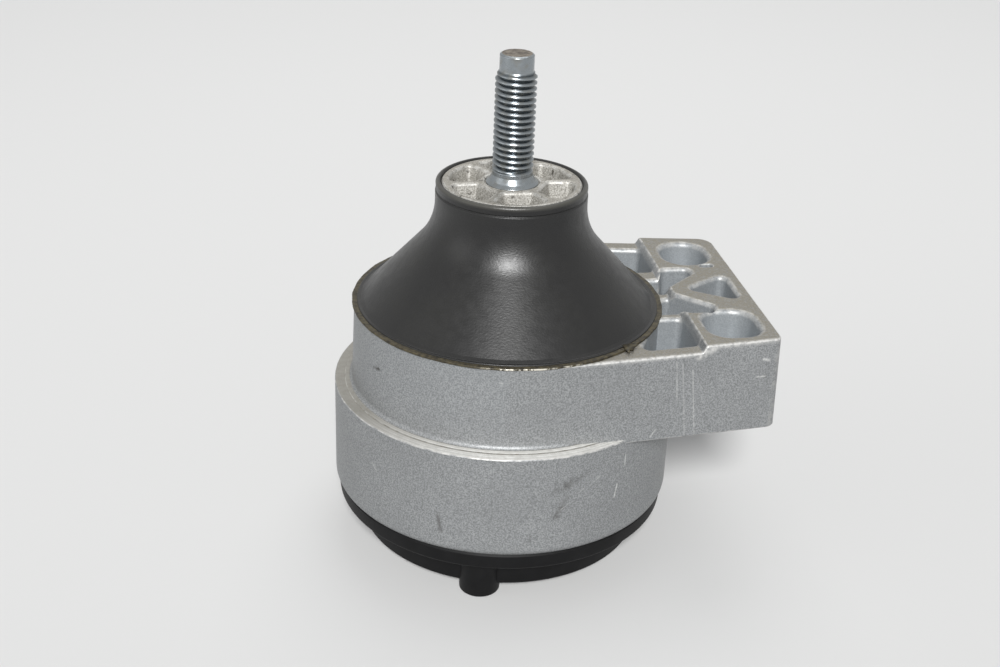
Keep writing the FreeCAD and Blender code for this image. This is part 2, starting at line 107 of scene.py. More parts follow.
def inset(corners, distance):
    """The same loop with every side moved inwards and its rounding radii to match."""
    moved = []
    for i, corner in enumerate(corners):
        here = Vector(corner[:2])
        before = (here - Vector(corners[i - 1][:2])).normalized()
        after = (Vector(corners[(i + 1) % len(corners)][:2]) - here).normalized()
        normals = Vector((-before.y, before.x)) + Vector((-after.y, after.x))
        move = normals * (2 * distance / normals.dot(normals))
        less = distance if before.x * after.y - before.y * after.x > 0 else -distance
        radius = max(corner[2] - less, LEAST_RADIUS) if len(corner) > 2 else 0
        moved.append((here.x + move.x, here.y + move.y, radius))
    return moved


square = [(0, 0, 2), (10, 0, 2), (10, 10, 2), (0, 10, 2)]
print("a square of side 10 rounded by 2 has", len(soften(square)), "points")

# %% [markdown]
# ## Turned pieces
# Nearly every piece is round, so one function turns a profile about the stud's axis. A closed profile
# gives a ring, and a profile that starts and ends on the axis gives a solid, with one point at each pole.

# %% Turning a profile
def add_object(name, data):
    """A new object in the scene."""
    obj = bpy.data.objects.new(name, data)
    bpy.context.scene.collection.objects.link(obj)
    return obj


def make_object(name, verts, faces):
    """A mesh object from millimetres, with the frame's origin and its normals pointing outwards."""
    mesh = bpy.data.meshes.new(name)
    mesh.from_pydata([(x * MM, y * MM, (z - Z0) * MM) for x, y, z in verts], [], faces)
    work = bmesh.new()
    work.from_mesh(mesh)
    bmesh.ops.recalc_face_normals(work, faces=work.faces)
    work.to_mesh(mesh)
    work.free()
    mesh.shade_smooth()
    return add_object(name, mesh)


AROUND = 192  # points round a turned piece, enough for a smooth rim


def lathe(name, points, around=AROUND):
    """Turns a loop of (radius, height) points about the stud's axis."""
    angles = [2 * math.pi * k / around for k in range(around)]
    verts = []
    rows = []
    for r, z in points:
        if r < 1e-6:
            rows.append([len(verts)] * around)
            verts.append((0, 0, z))
        else:
            rows.append(range(len(verts), len(verts) + around))
            verts += [(r * math.cos(angle), r * math.sin(angle), z) for angle in angles]
    faces = []
    for low, high in zip(rows, rows[1:] + rows[:1]):
        for k in range(around):
            n = (k + 1) % around
            ring = list(dict.fromkeys((low[k], low[n], high[n], high[k])))  # without repeats, as at a pole
            if len(ring) > 2:
                faces.append(ring)
    return make_object(name, verts, faces)


def shift(obj, x, y, z):
    """Moves a mesh by millimetres, while its object stays at the origin."""
    obj.data.transform(Matrix.Translation(Vector((x, y, z)) * MM))


print("points round the can lie %.2f mm apart" % (2 * math.pi * CAN_R / AROUND))

# %% [markdown]
# ## Blocks and cutters
# A cast pocket widens towards its mouth so that the die can leave it, and its rim is rounded. We draw a
# pocket as a stack of plans, each offset a little from the last, and cut the whole solid out at once. The
# rounded rim is then exact on every corner, which a bevel after the cut can't promise. The mouth also has
# to follow the small ramp between the low part of the arm and its raised pad, so `ramp` lifts its plans.

# %% Plans in a stack
PAD_X, PAD_RAMP, PAD_RISE = 49.849, 1.2, H["pad"] - H["top"]
BEYOND = 99  # mm, past every face of the part
RAMP = soften([(0, 0), (PAD_X, 0, 0.7), (PAD_X + PAD_RAMP, PAD_RISE, 0.7), (BEYOND, PAD_RISE)], 4, False)


def ramp(x):
    """Height of the arm's top above its low part."""
    for (x0, z0), (x1, z1) in zip(RAMP, RAMP[1:]):
        if x <= x1:
            return z0 + (z1 - z0) * (x - x0) / (x1 - x0)
    return z1


def stack(name, corners, rows, steps=6, spacing=BEYOND):
    """Solid from plans at rising heights. A row is (height, inset in mm, share of the ramp)."""
    ends = corners[1:] + corners[:1]
    fills = [max(1, round(math.dist(a[:2], b[:2]) / spacing)) for a, b in zip(corners, ends)]
    rings = [[(x, y, height + share * ramp(x)) for x, y in soften(inset(corners, shrink), steps, True, fills)]
             for height, shrink, share in rows]
    count = len(rings[0])
    total = count * len(rings)
    faces = [list(range(count)), list(range(total - count, total))]
    for base in range(0, total - count, count):
        for k in range(count):
            n = (k + 1) % count
            faces.append([base + k, base + n, base + count + n, base + count + k])
    return make_object(name, [v for ring in rings for v in ring], faces)


def mouth_rows(floor, top, slope, rim, fillet, share):
    """Rows of a cutter with a rounded floor edge, drafted walls and a mouth rounded outwards by rim."""
    depth = (top - floor) * slope
    low = [(floor + fillet * (1 - math.cos(t)), depth + fillet * (1 - math.sin(t)), 0)
           for t in (0, 0.5, 1.0, math.pi / 2)]
    high = [(top - rim + rim * math.sin(t), -rim * (1 - math.cos(t)), share)
            for t in (0, 0.35, 0.7, 1.05, 1.35, math.pi / 2)]
    return low + high + [(top + 4, -rim, share)]


print("the ramp rises %.1f mm in %d points" % (PAD_RISE, len(RAMP)))

# %% Booleans and rounding
def settle(obj):
    """Turns an object with modifiers into a plain mesh."""
    graph = bpy.context.evaluated_depsgraph_get()
    mesh = bpy.data.meshes.new_from_object(obj.evaluated_get(graph))
    old = obj.data
    obj.modifiers.clear()
    obj.data = mesh
    bpy.data.meshes.remove(old)


def combine(obj, tool, operation="DIFFERENCE"):
    """Cuts a tool out of the object, or joins the tool to it, and throws the tool away."""
    step = obj.modifiers.new("combine", "BOOLEAN")
    step.operation = operation
    step.solver = "EXACT"
    step.object = tool
    settle(obj)
    bpy.data.objects.remove(tool)


def mend(obj, distance=0.002):
    """Merges points closer than a distance in millimetres, and drops faces that have no area or hang by one side."""
    work = bmesh.new()
    work.from_mesh(obj.data)
    bmesh.ops.remove_doubles(work, verts=work.verts, dist=distance * MM)
    bmesh.ops.dissolve_degenerate(work, edges=work.edges, dist=distance * MM)
    strays = [face for face in work.faces if sum(edge.is_boundary for edge in face.edges) > 1]
    bmesh.ops.delete(work, geom=strays, context="FACES")
    work.to_mesh(obj.data)
    work.free()


def round_edges(obj, width, segments, degrees):
    """Rounds the edges that are sharper than the angle."""
    step = obj.modifiers.new("round", "BEVEL")
    step.width = width * MM
    step.segments = segments
    step.limit_method = "ANGLE"
    step.angle_limit = math.radians(degrees)
    settle(obj)


print("cutting tools are ready")

# %% [markdown]
# ## The arm
# The arm's sides leave the body along its tangents, and its top carries two wells, a forked rib and five
# pockets. The raised pad is what remains after the part of the block near the body is cut lower.

# %% Arm block
ARM_REACH, ARM_HALF = 74.449, 37.67
FRONT_CORNER, REAR_CORNER, ARM_EDGE = 2.4, 5.0, 0.8
PAD_BODY_R = BODY_R - PAD_RISE * DRAFT
side_angle = math.asin((PAD_BODY_R - 0.02) / math.hypot(ARM_REACH, ARM_HALF)) - math.atan2(ARM_HALF, ARM_REACH)


def half_width(x):
    """Half the arm's width, which shrinks from the body to the end because the sides are tangents."""
    return ARM_HALF + (ARM_REACH - x) * math.tan(side_angle)


root = PAD_BODY_R * math.sin(side_angle)
arm = stack("housing_arm", [(root, -half_width(root)), (ARM_REACH, -ARM_HALF, FRONT_CORNER),
                            (ARM_REACH, ARM_HALF, REAR_CORNER), (root, half_width(root))],
            [(H["arm"], (H["arm"] - H["pad"]) * DRAFT, 0), (H["pad"], 0, 0)])
above = [(0, H["top"])] + [(x, H["top"] + z) for x, z in RAMP[1:-1]] + [(BEYOND, H["pad"]), (BEYOND, 90), (0, 90)]
count = len(above)
low_part = make_object("low_part", [(x, y, z) for y in (-90, 90) for x, z in above],
                       [list(range(count)), list(range(2 * count - 1, count - 1, -1))] +
                       [[k, count + k, count + (k + 1) % count, (k + 1) % count] for k in range(count)])
combine(arm, low_part)
round_edges(arm, ARM_EDGE, 4, 65)
print("arm block:", len(arm.data.polygons), "faces")

# %% Plans of the arm's pockets
RIB, SIDE_WALL, CORNER = 3.4, 5.6, 1.9
FORK_Y, FORK_HALF, WEDGE_HALF = -1.6, 1.7, 9.12
POCKET_X = BODY_R - 4.8
WELL_X = 62.449
SQUARE_WIDTH, ROUND_WIDTH = ARM_HALF * 0.455, ARM_HALF * 0.446
WELL_Y = ARM_HALF - 3.0 - SQUARE_WIDTH / 2
WING_Y = WELL_Y - SQUARE_WIDTH / 2 - RIB


def rectangle(x, y, length, width, corner):
    """Corners of a rounded rectangle about a point."""
    a, b = length / 2, width / 2
    return [(x - a, y - b, corner), (x + a, y - b, corner), (x + a, y + b, corner), (x - a, y + b, corner)]


def mirrored(corners, axis_y):
    """The same plan on the other side of a line along the arm."""
    return [(c[0], 2 * axis_y - c[1]) + tuple(c[2:]) for c in reversed(corners)]


far_x = PAD_X + 0.3
near_x = POCKET_X - 8.5
side_pocket = [(POCKET_X, WING_Y + RIB, CORNER), (far_x, WING_Y + RIB, CORNER),
               (far_x, half_width(far_x) - SIDE_WALL, CORNER), (near_x, half_width(near_x) - SIDE_WALL, CORNER)]
fork = FORK_Y + FORK_HALF
wing = [(POCKET_X, fork + RIB, 0.3), (POCKET_X + 7.8, fork, CORNER), (PAD_X + 10.7, WING_Y - 3.6, CORNER),
        (PAD_X + 10.7, WING_Y, CORNER), (PAD_X + 2.15, WING_Y, CORNER), (PAD_X + 0.6, WING_Y * 0.75, 0.95),
        (POCKET_X, WING_Y * 0.75, 0.3)]
middle = FORK_Y / 2
wedge = [(55.95, middle, CORNER), (70.45, middle - WEDGE_HALF, CORNER), (70.45, middle + WEDGE_HALF, CORNER)]
print("wells at x %.2f, y %.2f and %.2f mm" % (WELL_X, WELL_Y, -WELL_Y))

# %% Cutting the pockets
FLOOR = H["arm"] + 6.0
POCKET_DRAFT, WELL_DRAFT, WELL_DEPTH = 3.5, 5.0, 14
TAP_R, MOUTH_R = 4.25, 5.25
for name, corners, fillet in (("side_rear", side_pocket, 0.8), ("side_front", mirrored(side_pocket, 0), 0.8),
                              ("wing_rear", wing, 0.25), ("wing_front", mirrored(wing, FORK_Y), 0.25),
                              ("wedge", wedge, 0.6)):
    rows = mouth_rows(FLOOR, H["top"], slope_of(POCKET_DRAFT), 1.45, fillet, 1)
    combine(arm, stack(name, corners, rows, 6, 0.6))
for name, corners in (("well_rear", rectangle(WELL_X, WELL_Y, 14.4, ROUND_WIDTH, 6.6)),
                      ("well_front", rectangle(WELL_X, -WELL_Y, 15.5, SQUARE_WIDTH, 6.0))):
    rows = mouth_rows(H["pad"] - WELL_DEPTH, H["pad"], slope_of(WELL_DRAFT), 1.7, 1.0, 0)
    combine(arm, stack(name, corners, rows, 12))
dimple = rectangle(67.05, WING_Y + RIB / 2, 4.2, 2.4, 1.08)
combine(arm, stack("dimple", dimple, mouth_rows(H["pad"] - 3, H["pad"], 0.06, 0.6, 0.1, 0)))
for side in (-1, 1):
    hole = lathe("hole", [(0, 40), (MOUTH_R, 40), (MOUTH_R, H["arm"]), (TAP_R, H["arm"] + 1), (TAP_R, 66), (0, 66)], 48)
    shift(hole, WELL_X, side * WELL_Y, 0)
    combine(arm, hole)
combine(arm, lathe("bore", [(0, 40), (BORE_R + 1.2, 40), (BORE_R + 1.2, 80), (0, 80)]))
print("arm with pockets:", len(arm.data.polygons), "faces")

# %% [markdown]
# ## Housing
# Body, ledge, can and arm are one casting. We turn the round part and join the arm to it. The arm starts
# where its sides touch the round body, with the same draft, so no seam shows between them.

# %% Housing
ROOF = 44.6  # underside of the web between can and body
STEP = 0.22  # the facing tool stopped this far above the outer part of the ledge
housing = lathe("housing", soften([
    (CAN_BORE_R, H["can"]), (CAN_R, H["can"], 2.4), (CAN_R, H["ledge"], 0.45), (49.4, H["ledge"]),
    (49.1, H["ledge"] + STEP), (BODY_FOOT_R, H["ledge"] + STEP, 1.6), (BODY_R, H["top"], 0.4), (BORE_R, H["top"]),
    (BORE_R, ROOF), (CAN_BORE_R, ROOF)], 8))
combine(housing, arm, "UNION")
mend(housing)
print("housing:", len(housing.data.polygons), "faces")

# %% [markdown]
# ## Rubber cone and sleeve
# The cone is bonded to the core and to a thin sleeve whose flange lies on the rim of the housing. The
# moulding left a rounded lip round the core, a faint ring under it and a thin skirt on the flange. The
# bonding coat ran over the flange's edge, so we push that edge in and out with two sizes of noise.

# %% Rubber cone
LINER_R, LINER_BORE_R, LINER_FOOT = 41.69, 39.1, 47.0
SEAT = H["top"] + 0.6  # top of the sleeve's flange
cone = lathe("rubber_cone", soften([
    (20.0, H["core"] - 3), (20.75, H["core"] - 0.5), (21.2, H["core"] + 0.25, 0.4), (22.4, H["core"] + 0.1, 0.9),
    (22.25, H["core"] - 2.3, 0.2), (22.05, H["core"] - 2.6, 0.15), (22.45, H["core"] - 3.0, 0.3),
    (22.4, H["core"] - 13.6, 20.0), (43.4, H["top"] + 1.5, 0.6), (44.4, H["top"] + 0.85, 0.4),
    (45.3, H["top"] + 0.95, 0.2), (45.4, SEAT), (LINER_R, SEAT), (LINER_R, LINER_FOOT), (LINER_BORE_R, LINER_FOOT),
    (LINER_BORE_R, 55.1, 4), (12.0, 67.8), (12.5, 69.5), (20.0, 96.0)], 12), 256)
print("cone:", len(cone.data.polygons), "faces")

# %% Sleeve flange
FLANGE_R = 47.15
WAVE, RIPPLE = 0.22, 0.1  # mm that the coat runs over the edge and back, in long waves and short ones
sleeve = lathe("sleeve_flange", soften([
    (41.7, H["top"] + 0.02), (FLANGE_R, H["top"] + 0.02, 0.1), (FLANGE_R, SEAT, 0.25), (41.7, SEAT)], 4), 384)
for vertex in sleeve.data.vertices:
    radius = math.hypot(vertex.co.x, vertex.co.y) / MM
    if radius > FLANGE_R - 0.65:
        angle = math.atan2(vertex.co.y, vertex.co.x)
        wave = noise.noise(Vector((math.cos(angle), math.sin(angle), 0)) * 9)
        fine = noise.noise(Vector((math.cos(angle), math.sin(angle), 3)) * 40)
        scale = (radius - 0.25 + WAVE * wave + RIPPLE * fine) / radius
        vertex.co.x *= scale
        vertex.co.y *= scale
chip = [(27.2, -35.0), (27.7, -36.8), (27.4, -38.0), (28.6, -40.1), (29.0, -38.2), (30.0, -38.6), (30.6, -36.6),
        (32.1, -35.4), (31.2, -34.0)]
flake = stack("coat_flake", chip, [(H["top"] + 0.62, 0.1, 0), (H["top"] + 0.75, 0, 0), (H["top"] + 0.95, 0.15, 0)])
print("faces: sleeve", len(sleeve.data.polygons), "and flake of the coat", len(flake.data.polygons))

# %% [markdown]
# ## Building node trees
# Geometry and materials are both made of nodes, so one small function adds a node of any kind. Each input
# takes a plain value, a hex colour or a link, and keywords set the properties of the node itself.
# Hex colours are sRGB, as picked on a screen, but sockets want linear light, so `linear` converts them.

# %% Adding a node
def linear(text):
    """Linear red, green, blue and alpha of an sRGB hex colour."""
    parts = [int(text[i:i + 2], 16) / 255 for i in (1, 3, 5)]
    return tuple(v / 12.92 if v <= 0.04045 else ((v + 0.055) / 1.055) ** 2.4 for v in parts) + (1.0,)


def plug(tree, socket, value):
    """Gives a socket a value or a hex colour, or links a node or a socket to it."""
    if isinstance(value, bpy.types.Node):
        value = next(output for output in value.outputs if output.enabled)
    if isinstance(value, bpy.types.NodeSocket):
        tree.links.new(value, socket)
    else:
        socket.default_value = linear(value) if isinstance(value, str) else value


def node(tree, kind, inputs={}, **settings):
    """Adds a node to a tree, sets its properties, and plugs its inputs, given by name or by number."""
    made = tree.nodes.new(kind)
    for key, value in settings.items():
        setattr(made, key, value)
    sockets = dict(enumerate(made.inputs))
    sockets.update({socket.name: socket for socket in reversed(made.inputs) if socket.enabled})
    for key, value in inputs.items():
        plug(tree, sockets[key], value)
    return made


print("mid grey #808080 is %.3f in linear light" % linear("#808080")[0])

# %% [markdown]
# ## Core
# Six equal pockets lighten the cast core. Geometry Nodes copies one cutter round the axis: a line of six
# points that all lie at the origin, each instance turned by a sixth of a turn more than the last.
# Changing `POCKETS` is enough to try another pattern. Every group of ours ends in Realize Instances and
# Set Material, because the export drops instances and a piece needs its finish.

# %% Geometry Nodes for a ring of copies
def new_group(name, inputs):
    """A Geometry Nodes group and its inputs: a geometry, the named values and a material."""
    tree = bpy.data.node_groups.new(name, "GeometryNodeTree")
    tree.interface.new_socket("Geometry", in_out="OUTPUT", socket_type="NodeSocketGeometry")
    for title, kind in [("Geometry", "Geometry")] + inputs + [("Material", "Material")]:
        tree.interface.new_socket(title, in_out="INPUT", socket_type="NodeSocket" + kind)
    return tree, node(tree, "NodeGroupInput").outputs


def end_group(tree, given, geometry):
    """Ends a group: copies become real faces and get the material."""
    solid = node(tree, "GeometryNodeRealizeInstances", {"Geometry": geometry})
    made = node(tree, "GeometryNodeSetMaterial", {"Geometry": solid, "Material": given["Material"]})
    node(tree, "NodeGroupOutput", {0: made})


def run_group(obj, tree, values):
    """Runs the group on an object with values given by input name, and keeps the result as a mesh."""
    step = obj.modifiers.new(tree.name, "NODES")
    step.node_group = tree
    for item in tree.interface.items_tree:
        if item.in_out == "INPUT" and item.name in values:
            step[item.identifier] = values[item.name]
    settle(obj)


ring, given = new_group("ring of copies", [("Count", "Int"), ("First angle", "Float")])
points = node(ring, "GeometryNodeMeshLine", {"Offset": (0, 0, 0), "Count": given["Count"]})
share = node(ring, "ShaderNodeMath", {0: 2 * math.pi, 1: given["Count"]}, operation="DIVIDE")
turn = node(ring, "ShaderNodeMath", {0: node(ring, "GeometryNodeInputIndex"), 1: share, 2: given["First angle"]},
            operation="MULTIPLY_ADD")
spin = node(ring, "ShaderNodeCombineXYZ", {"Z": turn})
copies = node(ring, "GeometryNodeInstanceOnPoints",
              {"Points": points, "Instance": given["Geometry"], "Rotation": spin})
end_group(ring, given, copies)
print("group inputs:", [item.name for item in ring.interface.items_tree if item.in_out == "INPUT"])

# %% Core
POCKETS, POCKET_DEPTH = 6, 7.0
core_cast = bpy.data.materials.new("stained core casting")  # coloured in the cell on cast aluminium
# up the core's side to its rim, and in over the small collar round the stud
core = lathe("core", soften([
    (0, 90), (20.1, 90), (20.6, H["core"] - 0.4, 0.3), (20.1, H["core"], 0.3), (9.6, H["core"]),
    (8.2, H["core"] + 0.15, 0.5), (7.9, H["core"] - 0.5), (0, H["core"] - 0.5)], 4), 144)
plan = [(9.6, -4.24, 1.0), (16.88, -8.05, 2.0), (18.7, 0, 4.0), (16.88, 8.05, 2.0), (9.6, 4.24, 1.0)]
cutter = stack("core_cutter", plan, mouth_rows(H["core"] - POCKET_DEPTH, H["core"], slope_of(12), 1.0, 0.3, 0), 5)
run_group(cutter, ring, {"Count": POCKETS, "First angle": math.radians(30), "Material": core_cast})
combine(core, cutter)
print("core:", len(core.data.polygons), "faces")

# %% [markdown]
# ## Worn and highlit edges
# Handling rubs a casting bright where it is most sharply curved, and the same rounded rims get a painted
# highlight along with the wear. We measure that on the mesh: the angle between two faces divided by the
# distance between their middles is the curvature across their edge. It is stored at each face corner as an
# attribute, except on wide faces, where it would smear. A second attribute marks the inside of the arm's
# pockets, whose walls get a paler, bluer colour there as painted light.

# %% Worn and highlit edges
def measure_wear_and_highlight(obj, full, lowest):
    """Stores at each face corner how sharply the surface bulges, where full is the curvature in 1/mm that gives 1."""
    work = bmesh.new()
    work.from_mesh(obj.data)
    wear_and_highlight = []
    for vertex in work.verts:
        most = 0.0
        for edge in vertex.link_edges:
            if len(edge.link_faces) == 2 and edge.is_convex:
                gap = sum(face.calc_area() for face in edge.link_faces) / (2 * edge.calc_length() + 1e-9) / MM
                most = max(most, edge.calc_face_angle() / (gap + 0.05))
        wear_and_highlight.append(min(1.0, most / full) if vertex.co.z / MM + Z0 > lowest else 0.0)
    work.free()
    values = []
    for face in obj.data.polygons:
        longest = max((obj.data.vertices[a].co - obj.data.vertices[b].co).length for a, b in face.edge_keys)
        narrow = face.area / longest < 1.5 * MM
        values += [wear_and_highlight[index] if narrow else 0.0 for index in face.vertices]
    obj.data.attributes.new("wear_and_highlight", "FLOAT", "CORNER").data.foreach_set("value", values)
    return sum(w > 0.5 for w in wear_and_highlight)


print("worn vertices:", measure_wear_and_highlight(housing, 1.1, H["ledge"] - 1), "on the housing,",
      measure_wear_and_highlight(core, 1.3, 100), "on the core")

# %% Inside of the pockets
# painted light: how strongly each point inside a pocket gets the paler, bluer wall colour, growing with depth
inside = []
for vertex in housing.data.vertices:
    x, y, z = vertex.co.x / MM, abs(vertex.co.y) / MM, vertex.co.z / MM + Z0
    deep = H["top"] + ramp(x) - z
    walled = x < ARM_REACH - 2.5 and y < half_width(x) - 1.5 and math.hypot(x, y) > BODY_R - 0.4 and z > 50
    inside.append(min(1.0, max(0.0, deep / 3)) if walled else 0.0)
housing.data.attributes.new("pocket", "FLOAT", "POINT").data.foreach_set("value", inside)
print("vertices in pockets:", sum(value > 0 for value in inside))

# %% [markdown]
# ## Stud
# The thread is a ridge swept along a helix: one turn for each 1.75 mm of height. Its section is a
# trapezoid with flanks at 60 degrees and a flat crest, and the sweep shrinks it almost to nothing over
# the first and the last turns, as a rolled thread runs out. The ridge's ends hide inside the stud's root.

# %% Thread ridge
PITCH = 1.75
THREAD_R = 6.0
DEPTH = 0.6134 * PITCH  # of a standard metric thread
ROOT_R = THREAD_R - DEPTH
START, END = H["thread"] + 0.2, H["dog"] - 0.1
LEAST = 0.02  # share of its size that the ridge keeps at both ends, so that its end faces have an area
helix, given = new_group("thread ridge",
                         [(title, "Float") for title in ("Turns", "Height", "Root radius", "Depth", "Pitch")])
path = node(helix, "GeometryNodeCurveSpiral", {
    "Resolution": 72, "Rotations": given["Turns"], "Height": given["Height"],
    "Start Radius": given["Root radius"], "End Radius": given["Root radius"]})
upright = node(helix, "GeometryNodeSetCurveNormal", {"Curve": path}, mode="Z_UP")
foot = node(helix, "ShaderNodeMath", {0: given["Pitch"], 1: 0.98}, operation="MULTIPLY")
crest = node(helix, "ShaderNodeMath", {0: given["Pitch"], 1: 0.16}, operation="MULTIPLY")
section = node(helix, "GeometryNodeCurvePrimitiveQuadrilateral", {
    "Offset": 0.0, "Height": given["Depth"], "Bottom Width": foot, "Top Width": crest}, mode="TRAPEZOID")
outwards = node(helix, "GeometryNodeTransform", {
    "Geometry": section, "Rotation": (0, 0, math.pi / 2), "Translation": (-DEPTH / 2 * MM, 0, 0)})
along = node(helix, "GeometryNodeSplineParameter").outputs["Factor"]
rise = node(helix, "ShaderNodeMapRange", {"Value": along, "From Max": 0.03, "To Min": LEAST},
            interpolation_type="SMOOTHSTEP")
fall = node(helix, "ShaderNodeMapRange", {"Value": along, "From Min": 0.975, "To Min": 1.0, "To Max": LEAST},
            interpolation_type="SMOOTHSTEP")
fade = node(helix, "ShaderNodeMath", {0: rise, 1: fall}, operation="MULTIPLY")
sweep = node(helix, "GeometryNodeCurveToMesh", {
    "Fill Caps": True, "Curve": upright, "Profile Curve": outwards, "Scale": fade})
end_group(helix, given, sweep)
zinc = bpy.data.materials.new("zinc-plated steel")  # coloured in the cell on zinc plating
ridge = make_object("thread_ridge", [(0, 0, 0), (1, 0, 0), (0, 1, 0)], [[0, 1, 2]])
run_group(ridge, helix, {"Turns": (END - START) / PITCH, "Height": (END - START) * MM, "Root radius": ROOT_R * MM,
                         "Depth": DEPTH * MM, "Pitch": PITCH * MM, "Material": zinc})
reach = max(math.hypot(vertex.co.x, vertex.co.y) for vertex in ridge.data.vertices) / MM
print("ridge: %d faces, radius %.2f mm" % (len(ridge.data.polygons), reach))

# %% Stud with a rolled thread
for vertex in ridge.data.vertices:
    vertex.co.z += (START - Z0) * MM
BARREL_R = ROOT_R + 0.08
# up the shank in the core, the collar, the flared root, the thread's barrel and the dog point
stud = lathe("stud", soften([
    (0, 85), (7.0, 85), (7.0, 110.2), (7.4, 110.6), (7.8, 111.4, 0.2), (6.8, 112.3, 1.5), (6.0, 113.9, 1.2),
    (5.9, H["thread"] + 0.3, 0.3), (BARREL_R, H["thread"] + 1.1, 0.4), (BARREL_R, H["dog"] - 0.9, 0.3),
    (5.3, H["dog"] - 0.2, 0.3), (4.95, H["dog"] + 0.4, 0.3), (4.95, H["tip"] - 0.4, 0.35),
    (4.3, H["tip"], 0.3), (0, H["tip"])], 5), 96)
joined = bmesh.new()
joined.from_mesh(stud.data)
joined.from_mesh(ridge.data)
joined.to_mesh(stud.data)
joined.free()
bpy.data.objects.remove(ridge)
stud.data.shade_smooth()
print("stud:", len(stud.data.polygons), "faces")

# %% [markdown]
# ## Bottom cover
# The cover is one moulding: a shallow cup, a flange that closes the can and a lug. Only the spigot that
# snaps into the can is out of sight.

# %% Bottom cover
CUP_R, COVER_R, COVER_WALL = 43.9, 51.1, 2.2
SPIGOT_R, SPIGOT_BORE_R, SPIGOT_TOP = 48.5, 45.1, 23.6
LUG_R, LUG_DROP, LUG_ANGLE = 6.05, 3, math.radians(-107)
cover = lathe("cover", soften([
    (0, 0), (CUP_R, 0, 0.8), (CUP_R, H["flange"], 0.6), (COVER_R, H["flange"], 0.9), (COVER_R, H["can"] - 0.6, 0.2),
    (COVER_R - 0.5, H["can"]), (SPIGOT_R, H["can"]), (SPIGOT_R, SPIGOT_TOP), (SPIGOT_BORE_R, SPIGOT_TOP),
    (SPIGOT_BORE_R, H["can"]), (CUP_R - COVER_WALL, 12.4), (CUP_R - COVER_WALL, COVER_WALL, 1.0), (0, COVER_WALL)], 5))
lug = lathe("lug", soften([(0, -LUG_DROP), (LUG_R, -LUG_DROP, 0.5), (LUG_R, 12.2), (0, 12.2)], 5), 64)
shift(lug, (CUP_R - 2.7) * math.cos(LUG_ANGLE), (CUP_R - 2.7) * math.sin(LUG_ANGLE), 0)
combine(cover, lug, "UNION")
print("cover:", len(cover.data.polygons), "faces")

# %% [markdown]
# ## Finishes
# Every finish here is a ground colour with thin coats over it, each laid where a mask says so, plus a
# roughness and a fine relief. `finish` builds that stack from a list. Most masks are `patches` of noise,
# whose size is written in millimetres and turned into a scale by `per_mm`.

# %% Material tools
def per_mm(size):
    """Texture scale at which a pattern repeats after this many millimetres."""
    return 1 / (size * MM)


def new_material(name, **sockets):
    """A material with a Principled shader, the given socket values and the object's own coordinates."""
    material = bpy.data.materials.get(name) or bpy.data.materials.new(name)
    material.use_nodes = True
    tree = material.node_tree
    shader = tree.nodes["Principled BSDF"]
    for key, value in sockets.items():
        shader.inputs[key.replace("_", " ")].default_value = value
    return material, tree, shader, node(tree, "ShaderNodeTexCoord").outputs["Object"]


def patches(tree, place, size, detail, span=(0.35, 0.65), share=(0, 1), stretch=None):
    """Noise of a size in millimetres, whose values over the span turn into strengths over the share."""
    if stretch:
        place = node(tree, "ShaderNodeMapping", {"Vector": place, "Scale": stretch})
    grain = node(tree, "ShaderNodeTexNoise", {"Vector": place, "Scale": per_mm(size), "Detail": detail})
    return node(tree, "ShaderNodeMapRange", {
        "Value": grain, "From Min": span[0], "From Max": span[1], "To Min": share[0], "To Max": share[1]})


def from_axis(tree, place):
    """Distance from the stud's axis in metres."""
    flat = node(tree, "ShaderNodeVectorMath", {0: place, 1: (1, 1, 0)}, operation="MULTIPLY")
    return node(tree, "ShaderNodeVectorMath", {0: flat}, operation="LENGTH")


def part_of(tree, vector, axis):
    """One coordinate of a place, in metres, or of a normal."""
    return node(tree, "ShaderNodeSeparateXYZ", {"Vector": vector}).outputs[axis]


def finish(tree, shader, ground, coats, roughness=None, relief=None):
    """Ground colour, coats as (mask, colour), roughness, and relief as (height from 0 to 1, strength, depth in mm)."""
    shade = ground
    for mask, colour in coats:
        shade = node(tree, "ShaderNodeMix", {"Factor": mask, "A": shade, "B": colour}, data_type="RGBA")
    plug(tree, shader.inputs["Base Color"], shade)
    if roughness:
        plug(tree, shader.inputs["Roughness"], roughness)
    if relief:
        height, strength, depth = relief
        bump = node(tree, "ShaderNodeBump", {"Height": height, "Strength": strength, "Distance": depth * MM})
        plug(tree, shader.inputs["Normal"], bump)


print("a pattern of 2 mm has the scale", per_mm(2))
